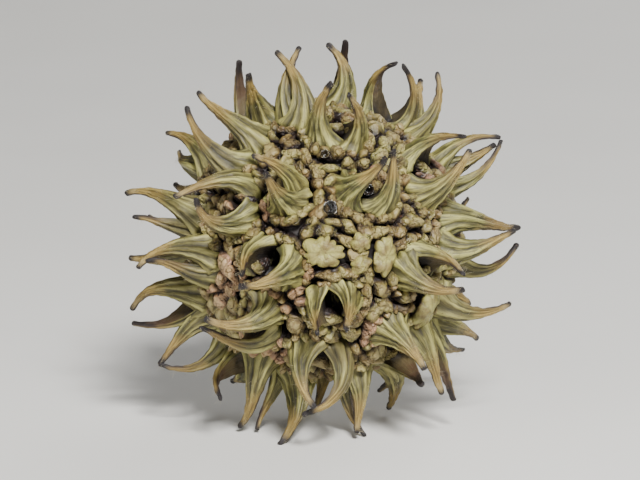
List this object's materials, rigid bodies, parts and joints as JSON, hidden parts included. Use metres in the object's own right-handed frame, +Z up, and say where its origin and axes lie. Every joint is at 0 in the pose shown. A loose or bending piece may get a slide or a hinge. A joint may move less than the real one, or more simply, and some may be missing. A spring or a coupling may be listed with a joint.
{
  "type": "sweetgum seed ball",
  "caption": "Round woody fruit of fused capsules, each a mouth between two curved, ribbed beaks, with warty knobs between them.",
  "frame": {"origin": "the point of the surface it rests on that is under the middle of the ball", "axes": "+Z up, away from the surface; -Y towards the side that the picture shows; +X to the right of that view"},
  "size_m": [0.0342, 0.033, 0.0328],
  "materials": {
    "woody_green": "matte, fibrous, olive green turning ochre and dark brown at the tips"
  },
  "bodies": {
    "root": {"seed_ball": "woody_green"}
  },
  "joints": []
}
